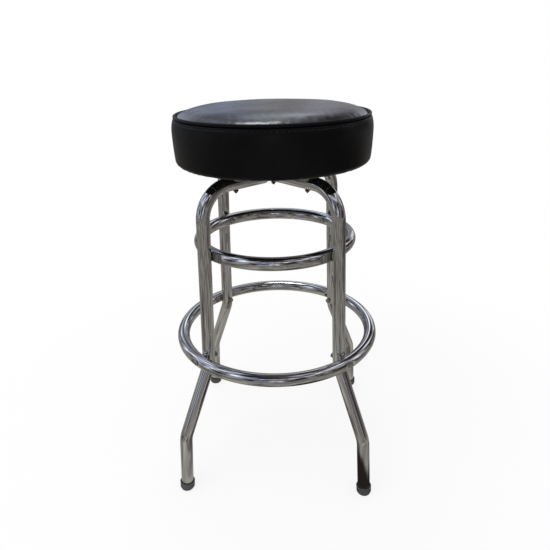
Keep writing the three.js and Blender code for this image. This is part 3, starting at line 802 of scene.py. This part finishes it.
# Swivel. Two square plates of zinc-plated steel with a ball race pressed into each. Ten steel
# balls in a nylon cage roll between them, and a hollow rivet through both holds them together.
plate_half = 0.080
plate_corner = 0.014
plate_thickness = 0.002
plate_edge_round = 0.0004
ball_radius = 0.004
ball_pitch = 0.050
ball_count = 10
ridge_rise = 0.0029
ridge_run = 0.0034
ridge_top = 0.0012
hub_rise = 0.002
hub_edge = 0.0006
race_flange = 0.008
rivet_radius = 0.022
rivet_wall = 0.002
rivet_lip = 0.006
rivet_lip_round = 0.0007
rivet_sheet = 0.0015
plate_steps = 112
swivel_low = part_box("swivel_bottom_plate")[0].z
swivel_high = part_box("swivel_top_plate")[1].z
swivel_height = swivel_high - swivel_low
swivel_middle = (swivel_low + swivel_high) / 2


def squared(way):
    """Reach of the plate's edge in a level direction. Its corners are round."""
    across, along = sorted((abs(way.x), abs(way.y)), reverse=True)
    reach = plate_half / across
    inset = plate_half - plate_corner
    if reach * along <= inset:
        return reach
    middle = inset * (across + along)
    return middle + math.sqrt(middle ** 2 - 2 * inset ** 2 + plate_corner ** 2)


def swivel_plate():
    """The lower plate from its outer face at height 0, with the race rising towards the balls."""
    groove = (ball_radius + fit_gap) * math.tan(math.pi / 8)
    valley = swivel_height / 2 - ball_radius - fit_gap
    ridge = groove + ridge_rise
    hub = hub_rise + plate_thickness
    bore = rivet_radius + fit_gap
    flange = ball_pitch + ridge + ridge_run + race_flange
    race = [(groove, valley + 0.0002), (ridge - ridge_top, valley + ridge_rise), (ridge, valley + ridge_rise),
            (ridge + 0.35 * ridge_run, valley + 0.85 * ridge_rise)]
    shape = turned([(bore, hub - 0.0002), (bore + hub_edge, hub), (ball_pitch - ridge - ridge_run, hub)]
                   + [(ball_pitch - out, height) for out, height in reversed(race)]
                   + [(ball_pitch, valley - 0.0001)]
                   + [(ball_pitch + out, height) for out, height in race]
                   + [(flange - race_flange, plate_thickness), (flange, plate_thickness)], plate_steps)
    rim = [edge for edge in shape.edges if edge.is_boundary and edge.verts[0].co.xy.length > flange - 1e-5]
    for share in (0.35, 0.6, 0.8, 0.97, 1.0):
        spots, rim = extruded(shape, rim)
        for spot in spots:
            way = spot.co.xy.normalized()
            spot.co.xy = way * (flange + (squared(way) - flange) * share)
    bmesh.ops.recalc_face_normals(shape, faces=shape.faces)
    if sum(face.normal.z * face.calc_area() for face in shape.faces) < 0:
        bmesh.ops.reverse_faces(shape, faces=shape.faces)
    return shape


for plate_name, node_name, body, level, turn in (
        ("swivel_plate_lower", "swivel_bottom_plate", "frame", swivel_low, 0),
        ("swivel_plate_upper", "swivel_top_plate", "seat", swivel_high, math.pi)):
    plate_shape = swivel_plate()
    stand = Matrix.Translation((0, 0, level)) @ Matrix.Rotation(turn, 4, "X")
    bmesh.ops.transform(plate_shape, matrix=stand, verts=plate_shape.verts)
    plate = piece(plate_name, plate_shape, zinc, body, "zinc_plate", node_name)
    hollowed(plate, plate_thickness)
    edge_round = plate.modifiers.new("rolled_edges", "BEVEL")
    edge_round.width = plate_edge_round
    edge_round.segments = 2
    edge_round.limit_method = "ANGLE"
    edge_round.angle_limit = math.radians(50)
    edge_round.harden_normals = True

race_steel = coated("bearing_steel", (0.52, 0.53, 0.55), 0.16, metallic=1.0)
varied(race_steel, "Roughness", 240.0, [(0.35, 0.1), (0.7, 0.32)])
relief(race_steel, 500.0, 0.06, 0.0001)
low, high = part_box("swivel_hollow_rivet")
rivet_height = high.z - low.z
rivet_inner = rivet_radius - rivet_wall
lip_reach = rivet_radius + rivet_lip - rivet_lip_round
rivet_shape = turned(
    [(rivet_inner, rivet_wall)] + arc((rivet_radius, rivet_wall), rivet_wall, 180, 270, 4)
    + arc((lip_reach, rivet_lip_round), rivet_lip_round, -90, 90, 4)
    + [(rivet_radius, rivet_sheet), (rivet_radius, rivet_height - rivet_sheet)]
    + arc((lip_reach, rivet_height - rivet_lip_round), rivet_lip_round, -90, 90, 4)
    + arc((rivet_radius, rivet_height - rivet_wall), rivet_wall, 90, 180, 4)
    + [(rivet_inner, rivet_wall)], 96)
aimed(rivet_shape, up * low.z, up)
placed("swivel_rivet", rivet_shape, race_steel, "frame", "bearing_steel", "swivel_hollow_rivet")

nylon = coated("natural_nylon", (0.78, 0.76, 0.7), 0.45)
varied(nylon, "Base Color", 90.0, [(0.3, (0.7, 0.67, 0.58)), (0.7, (0.82, 0.8, 0.74))])
relief(nylon, 800.0, 0.1, 0.0001)
cage_thickness = 0.0012
cage_half_width = 0.0065
pocket_radius = ball_radius + fit_gap
cage_shape = turned([(ball_pitch + out * cage_half_width, rise_share * cage_thickness / 2)
                     for out, rise_share in ((-1, -1), (1, -1), (1, 1), (-1, 1), (-1, -1))], 120)
aimed(cage_shape, up * swivel_middle, up)
cage = placed("ball_cage_ring", cage_shape, nylon, "ball_cage", "nylon", "ball_cage")
pockets = []
for number in range(ball_count):
    stand = Matrix.Translation(outward(2 * math.pi * number / ball_count) * ball_pitch + up * swivel_middle)
    pocket = bmesh.new()
    bmesh.ops.create_cone(pocket, cap_ends=True, segments=28, radius1=pocket_radius, radius2=pocket_radius,
                          depth=5 * cage_thickness, matrix=stand)
    pockets.append(pocket)
    ball_shape = bmesh.new()
    bmesh.ops.create_uvsphere(ball_shape, u_segments=28, v_segments=18, radius=ball_radius, matrix=stand)
    placed("steel_ball_%02d" % (number + 1), ball_shape, race_steel, "ball_cage", "bearing_steel",
           "bearing_ball_%02d" % (number + 1))
bitten(cage, pockets)

# Board. A disc of plywood with eased edges, painted black, carries the cushion. Four pan-head
# screws hold the swivel's upper plate to its underside.
board_low, board_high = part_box("seat_board")
board_base = board_low.z
board_thickness = board_high.z - board_low.z
board_radius = 0.172
board_ease = 0.0012
board_screw = {"radius": 0.0021, "head_radius": 0.0044, "head_height": 0.0024, "pitch": 0.0013,
               "tip": 0.004, "threads": 0.009}
plywood = coated("black_painted_plywood", (0.008, 0.008, 0.008), 0.6, specular=0.08)
varied(plywood, "Base Color", 26.0, [
    (0.3, 0.005), (0.6, 0.008), (0.8, (0.022, 0.02, 0.018)),
], detail=6.0, stretch=(0.35, 5.0, 30.0))
varied(plywood, "Roughness", 40.0, [(0.3, 0.5), (0.7, 0.75)], detail=4.0)
relief(plywood, 60.0, 0.3, 0.0003, detail=6.0, stretch=(0.3, 8.0, 30.0))
ease_reach = board_radius - board_ease
board_shape = turned([(0, 0), (ease_reach, 0)] + arc((ease_reach, board_ease), board_ease, -90, 0, 3)
                     + arc((ease_reach, board_thickness - board_ease), board_ease, 0, 90, 3)
                     + [(0, board_thickness)], 144)
aimed(board_shape, up * board_base, up)
placed("plywood_board", board_shape, plywood, "seat", "plywood", "seat_board")
for corner, spot in swivel_spots.items():
    screwed("board_screw_" + corner, "seat_screw_" + corner, spot, -up, zinc, "seat", "zinc_plate",
            board_screw)

# Foam. A thick block of cut polyurethane foam on the board, crowned on top and skived round
# its edges. The cover hides it.
foam_clear = 0.0016
foam_skive = 0.004
foam_shares = (0.965, 0.94, 0.91, 0.87, 0.82, 0.75, 0.65, 0.5, 0.3, 0.15, 0)
side_steps = 16
seat_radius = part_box("seat_side_band")[1].x
welt_radius = 0.0035
welt_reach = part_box("seat_welt")[1].x - welt_radius
welt_height = middle_height("seat_welt")
panel_reach = welt_reach - welt_radius - fit_gap
seam_height = welt_height - welt_radius - fit_gap
crown_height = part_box("seat_top_panel")[1].z - welt_height
crown_power = 8
wrap_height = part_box("seat_side_band")[0].z
bottom_corner = 0.012
bottom_tuck = 0.0019
seam_tuck = 0.0043
widest_share = 0.68
side_base = wrap_height + bottom_corner


def side_reach(height):
    """Reach of the cover's side at a height, widest part way up."""
    share = (height - side_base) / (seam_height - side_base)
    if share < widest_share:
        return seat_radius - bottom_tuck * (1 - share / widest_share) ** 2
    return seat_radius - seam_tuck * ((share - widest_share) / (1 - widest_share)) ** 2


def crown(reach):
    """Height of the crowned top at a reach from the axis."""
    return welt_height + crown_height * (1 - (reach / panel_reach) ** crown_power)


foam = coated("yellow_foam", (0.8, 0.7, 0.4), 0.95, specular=0.1)
varied(foam, "Base Color", 30.0, [(0.35, (0.72, 0.6, 0.3)), (0.65, (0.84, 0.75, 0.46))], detail=5.0)
relief(foam, 700.0, 0.5, 0.0006, kind="Voronoi")
foam_base = board_base + board_thickness + fit_gap
foam_foot = wrap_height + 0.0055
side_levels = [side_base + (seam_height - side_base) * step / side_steps for step in range(side_steps + 1)]
foam_shape = turned(
    [(0, foam_base), (board_radius + fit_gap, foam_base), (board_radius + fit_gap, foam_foot),
     (board_radius + 0.006, foam_foot), (board_radius + 0.0105, foam_foot + 0.003)]
    + [(side_reach(level) - foam_clear, level) for level in side_levels[1:-2]]
    + [(panel_reach - foam_skive, seam_height - foam_skive)]
    + [(panel_reach * share, crown(panel_reach * share) - foam_clear) for share in foam_shares], 120)
foam_block = placed("foam_cushion", foam_shape, foam, "seat", "foam", "seat_foam")

# Cover. Black vinyl, sewn from a round top panel and a boxing band with a welt between them,
# pulled down over the foam and stapled under the board, so the band gathers at the bottom.
vinyl_thickness = 0.0012
cover_steps = 240
panel_steps = 26
edge_roll = 0.006
edge_drop = 0.0009
pucker_depth = 0.00012
puckers = 64
band_round = 0.003


def vinyl_finish(name, shade, gloss, specular):
    """Black vinyl cloth: a fine pressed grain over broad, shallow unevenness."""
    finish = coated(name, (shade, shade, 1.1 * shade), gloss, specular=specular)
    varied(finish, "Base Color", 14.0, [
        (0.35, (0.75 * shade, 0.75 * shade, 0.85 * shade)), (0.7, (1.4 * shade, 1.4 * shade, 1.5 * shade)),
    ], detail=4.0)
    varied(finish, "Roughness", 22.0, [(0.3, 0.8 * gloss), (0.55, gloss), (0.8, 1.35 * gloss)], detail=5.0)
    relief(finish, 620.0, 0.14, 0.0003, kind="Voronoi")
    relief(finish, 1500.0, 0.08, 0.0002, detail=2.0)
    relief(finish, 30.0, 0.1, 0.0012, detail=2.0)
    return finish


# The top panel's copy of the vinyl has about twice the colour of the band and welt: painted light on the top
# and painted shade on the sides. It also has a coat and more gloss.
vinyl = vinyl_finish("black_vinyl", 0.0028, 0.36, 0.12)
top_panel_vinyl_painted_lighter = vinyl_finish("black_vinyl_top_painted_lighter", 0.006, 0.27, 0.8)
skin(top_panel_vinyl_painted_lighter)["Coat Weight"].default_value = 0.9
skin(top_panel_vinyl_painted_lighter)["Coat Roughness"].default_value = 0.3


def filled_out(made, sewn, pressure, most, frames=16):
    """Lets the foam press a cover panel out between its seams, by less than a millimetre."""
    rest = [spot.co.copy() for spot in made.data.vertices]
    group = made.vertex_groups.new(name="sewn")
    group.add(sewn, 1.0, "REPLACE")
    cloth = made.modifiers.new("cloth", "CLOTH")
    settings = cloth.settings
    settings.vertex_group_mass = "sewn"
    settings.quality = 5
    settings.mass = 0.4
    settings.use_pressure = True
    settings.uniform_pressure_force = pressure
    settings.tension_stiffness = settings.compression_stiffness = 25
    settings.bending_stiffness = 1.0
    settings.shrink_min = -0.001
    settings.effector_weights.gravity = 0.0
    cloth.collision_settings.use_collision = False
    cloth.point_cache.frame_start = 1
    cloth.point_cache.frame_end = frames
    for step in range(1, frames + 1):
        scene.frame_set(step)
    done = made.evaluated_get(bpy.context.evaluated_depsgraph_get())
    filled = [spot.co.copy() for spot in done.data.vertices]
    made.modifiers.remove(cloth)
    made.vertex_groups.remove(group)
    for spot, before, after in zip(made.data.vertices, rest, filled):
        move = after - before
        if move.length > most:
            move *= most / move.length
        spot.co = before + move
    scene.frame_set(1)


def upholstered(name, shape, finish, node_name, held, pressure, most):
    """A cover panel, pressed out by the foam, with its thickness and a finer surface."""
    made = placed(name, shape, finish, "seat", "seat_vinyl", node_name, crease=3.0)
    filled_out(made, [spot.index for spot in made.data.vertices if held(spot.co)], pressure, most)
    hollowed(made, vinyl_thickness)
    finer = made.modifiers.new("finer", "SUBSURF")
    finer.levels = finer.render_levels = 1


# Top panel: a disc whose edge rolls down into the seam, inside the welt.
panel_profile = [(0, crown(0))]
for step in range(1, panel_steps + 1):
    reach = panel_reach * (step / panel_steps) ** 0.7
    roll = max((reach - panel_reach + edge_roll) / edge_roll, 0.0)
    panel_profile.append((reach, crown(reach) - edge_drop * roll ** 2))
panel_profile += [(panel_reach, welt_height - 0.0022), (panel_reach - 0.0001, seam_height + 0.0004)]
panel_shape = turned(panel_profile, cover_steps)
for spot in panel_shape.verts:
    share = spot.co.xy.length / panel_reach
    heading = math.atan2(spot.co.y, spot.co.x)
    pucker = math.sin(puckers * heading + 3 * noise.noise(Vector((spot.co.x * 9, spot.co.y * 9, 0))))
    spot.co.z += pucker_depth * pucker * smooth_step(share, 0.88, 0.97) * (1 - smooth_step(share, 0.985, 1.0))
    spot.co.z += 0.0006 * noise.noise(spot.co * 14)
upholstered("vinyl_top_panel", panel_shape, top_panel_vinyl_painted_lighter, "seat_top_panel",
            lambda spot: spot.xy.length > panel_reach - 0.0008, 1.0, 0.0006)

# Boxing band: from the staples under the board, round the bottom corner, up to the seam.
staple_reach = 0.148
wrap_steps = 8
gathers = 58
gather_depth = 0.0006
gather_height = 0.009
seam_pull = 0.00018
corner_middle = (seat_radius - bottom_tuck - bottom_corner, side_base)
band_profile = [(staple_reach + (corner_middle[0] - staple_reach) * step / wrap_steps, wrap_height)
                for step in range(wrap_steps)]
band_profile += arc(corner_middle, bottom_corner, -90, -8, 8)
band_profile += [(side_reach(level), level) for level in side_levels[1:] if level < seam_height - band_round]
round_reach = side_reach(seam_height - band_round)
band_profile += arc((round_reach - band_round, seam_height - band_round), band_round, 0, 90, 5)
band_profile += [(welt_reach - 0.0012, seam_height - 0.0004), (panel_reach - 0.0018, seam_height - 0.0006),
                 (panel_reach - 0.0020, seam_height + 0.0022)]
band_shape = turned(band_profile, 2 * cover_steps)
for spot in band_shape.verts:
    heading = math.atan2(spot.co.y, spot.co.x)
    wander = 2.2 * noise.noise(outward(heading) * 2.5)
    low_share = 1 - smooth_step(spot.co.z, wrap_height, wrap_height + gather_height)
    fold = math.sin(gathers * heading + 5 * wander) * (0.6 + 0.4 * math.sin(7 * heading))
    out = spot.co.xy.normalized()
    under = 1 - smooth_step(spot.co.xy.length, board_radius - 0.022, board_radius + 0.012)
    side_move = gather_depth * fold * low_share * (1 - under)
    top_share = smooth_step(spot.co.z, seam_height - 0.016, seam_height - 0.005)
    side_move += seam_pull * math.sin(150 * heading + 6 * wander) * top_share
    side_move += 0.0007 * noise.noise(Vector((spot.co.x * 7, spot.co.y * 7, spot.co.z * 16)))
    if spot.co.z < seam_height - 0.0005:
        spot.co.xy += out * side_move
    spot.co.z -= under * (0.0005 + 0.0005 * fold)


def band_held(spot):
    return spot.z > seam_height - 0.0012 or spot.xy.length < board_radius - 0.004 and spot.z < board_base


upholstered("vinyl_boxing_band", band_shape, vinyl, "seat_side_band", band_held, 1.2, 0.0008)

# Welt: a cord wrapped in a bias strip of the same vinyl and caught in the seam. Its ends
# overlap at the back.
welt_crinkles = 130
welt_share = 0.86  # of the solid's radius, before the crinkles
welt_lap_heading = 86
welt_shape = hoop(welt_reach, welt_height, welt_radius, 20, 2 * cover_steps)
for spot in welt_shape.verts:
    heading = math.atan2(spot.co.y, spot.co.x)
    middle = Vector((welt_reach * math.cos(heading), welt_reach * math.sin(heading), welt_height))
    arm = spot.co - middle
    twist = math.atan2(arm.z, arm.dot(middle.xy.to_3d().normalized()))
    crinkle = 0.012 * math.sin(welt_crinkles * heading + 1.5 * twist) + 0.05 * noise.noise(spot.co * 45)
    crinkle += 0.09 * pressed(math.degrees(heading) - welt_lap_heading, 1.6, 0.7)
    spot.co = middle + arm * (welt_share + crinkle) - up * 0.0003
placed("vinyl_welt", welt_shape, vinyl, "seat", "seat_vinyl", "seat_welt", crease=3.0)

# Stitches: a row of lockstitch in black thread on the band, just under the welt, and a seam
# down the back where the band's ends are joined.
thread = coated("black_thread", (0.05, 0.05, 0.055), 0.5, specular=0.5)
varied(thread, "Base Color", 900.0, [(0.3, (0.03, 0.03, 0.034)), (0.7, (0.09, 0.09, 0.1))])
relief(thread, 3000.0, 0.4, 0.0001, stretch=(1, 1, 0.3))
stitch_pitch = 0.0048
stitch_length = 0.0034
stitch_radius = 0.00034
stitch_rise = 0.0001
stitch_level = seam_height - 0.0046
seam_heading = math.radians(92)
seam_half = 0.0035


def stitch(shape, at, way, out):
    """One stitch: a short thread that dips into the vinyl at both ends."""
    turn = Matrix((way, way.cross(out), out)).transposed().to_4x4()
    size = Matrix.Diagonal((stitch_length / 2, stitch_radius, stitch_radius, 1))
    made = bmesh.ops.create_icosphere(shape, subdivisions=1, radius=1.0)["verts"]
    bmesh.ops.transform(shape, matrix=Matrix.Translation(at) @ turn @ size, verts=made)


stitch_shape = bmesh.new()
stitch_reach = side_reach(stitch_level) + stitch_rise
stitch_count = round(2 * math.pi * stitch_reach / stitch_pitch)
for number in range(stitch_count):
    out = outward(2 * math.pi * number / stitch_count)
    stitch(stitch_shape, out * stitch_reach + up * stitch_level, up.cross(out), out)
level = side_base + 0.004
while level < stitch_level - 0.003:
    for side in (-1, 1):
        out = outward(seam_heading + side * seam_half / seat_radius)
        stitch(stitch_shape, out * (side_reach(level) + stitch_rise) + up * level, up, out)
    level += stitch_pitch
placed("seam_stitches", stitch_shape, thread, "seat", "seat_vinyl", crease=3.0)

# Staples: wire crowns that hold the gathered edge of the cover to the board.
staple_size = (0.0011, 0.0095, 0.0006)
staple_round = 0.00018
staple_steel = coated("staple_wire", (0.5, 0.5, 0.5), 0.35, metallic=1.0)
varied(staple_steel, "Roughness", 200.0, [(0.3, 0.25), (0.7, 0.5)])
staple_shape = bmesh.new()
for number in range(gathers):
    skew = 0.25 * noise.noise(Vector((number * 1.7, 0, 0)))
    stand = (Matrix.Rotation(2 * math.pi * number / gathers, 4, "Z")
             @ Matrix.Translation((staple_reach + 0.006, 0, wrap_height - 0.0008))
             @ Matrix.Rotation(skew, 4, "Z") @ Matrix.Diagonal((*staple_size, 1)))
    wire = bmesh.ops.create_cube(staple_shape, size=1.0, matrix=stand)["verts"]
    eased(staple_shape, list({edge for spot in wire for edge in spot.link_edges}), staple_round, 1)
placed("cover_staples", staple_shape, staple_steel, "seat", "zinc_plate", crease=0.5)
